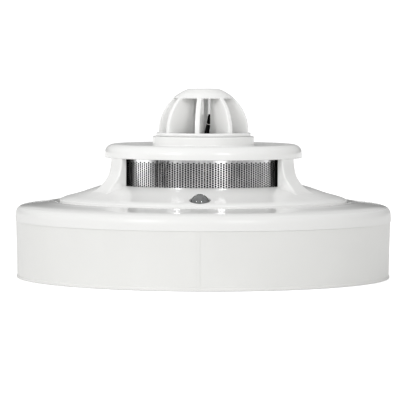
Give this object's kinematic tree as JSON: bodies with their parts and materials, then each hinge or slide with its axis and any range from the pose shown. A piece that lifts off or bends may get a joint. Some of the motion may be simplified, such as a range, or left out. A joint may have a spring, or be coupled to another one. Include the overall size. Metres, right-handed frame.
{
  "type": "heat detector",
  "caption": "Round ceiling heat and smoke detector: thermistor in an open domed cage, optical chamber behind a perforated steel screen, and a deep twist-lock wiring base.",
  "frame": {"origin": "centre of the base's flat back, which lies on the ceiling in use and on the table when stored", "axes": "+Z out of the back through the dome, along the turning axis; -Y is the front, where the indicator lamp is; +X is to the right seen from the front"},
  "size_m": [0.1, 0.1, 0.05],
  "materials": {
    "white_abs": "satin to gloss injection-moulded ABS, slightly warm white",
    "black_abs": "matt black light-absorbing ABS",
    "sleeve_rubber": "black heat-shrink sleeve",
    "black_epoxy": "black epoxy",
    "screen_steel": "finely perforated stainless steel sheet",
    "board_laminate": "green solder-masked glass-epoxy laminate",
    "clear_epoxy": "water-clear epoxy lamp body",
    "plated_steel": "bright nickel-plated steel",
    "spring_steel": "nickel-plated spring strip",
    "tinned_copper": null,
    "relay_case": "off-white moulded relay case",
    "can_aluminium": "bare capacitor can",
    "reed_glass": "green-tinted glass tube"
  },
  "bodies": {
    "base": {"mounting_base": "white_abs", "terminal_spring_1": "spring_steel", "clamp_washer_1": "plated_steel", "terminal_screw_1": "plated_steel", "terminal_spring_2": "spring_steel", "clamp_washer_2": "plated_steel", "terminal_screw_2": "plated_steel", "terminal_spring_3": "spring_steel", "clamp_washer_3": "plated_steel", "terminal_screw_3": "plated_steel", "terminal_spring_4": "spring_steel", "clamp_washer_4": "plated_steel", "terminal_screw_4": "plated_steel"},
    "head": {"head_housing": "white_abs", "chamber_base": "black_abs", "chamber_lid": "black_abs", "thermistor_sleeve": "sleeve_rubber", "thermistor_bead": "black_epoxy", "insect_screen": "screen_steel", "circuit_board": "board_laminate", "status_led": "clear_epoxy", "infrared_emitter": "clear_epoxy", "photodiode": "black_epoxy", "photodiode_shield": "plated_steel", "thermistor_lead_1": "tinned_copper", "thermistor_lead_2": "tinned_copper", "relay": "relay_case", "microcontroller": "black_epoxy", "capacitor_1": "can_aluminium", "capacitor_2": "can_aluminium", "surge_suppressor": "black_epoxy", "reed_switch": "reed_glass", "contact_blade_1": "spring_steel", "contact_rivet_1": "tinned_copper", "contact_blade_2": "spring_steel", "contact_rivet_2": "tinned_copper", "contact_blade_3": "spring_steel", "contact_rivet_3": "tinned_copper", "contact_blade_4": "spring_steel", "contact_rivet_4": "tinned_copper", "board_screw_1": "plated_steel", "board_screw_2": "plated_steel", "board_screw_3": "plated_steel"},
    "cover": {"upper_cover": "white_abs", "thermistor_cage": "white_abs"}
  },
  "joints": [
    {"name": "head_twist", "type": "hinge", "parent": "base", "child": "head", "pos_m": [0, 0, 0.015], "axis": [0, 0, 1], "range_deg": [0, 20]},
    {"name": "cover_pull", "type": "slide", "parent": "head", "child": "cover", "axis": [0, 0, 1], "range_m": [0, 0.03]}
  ]
}
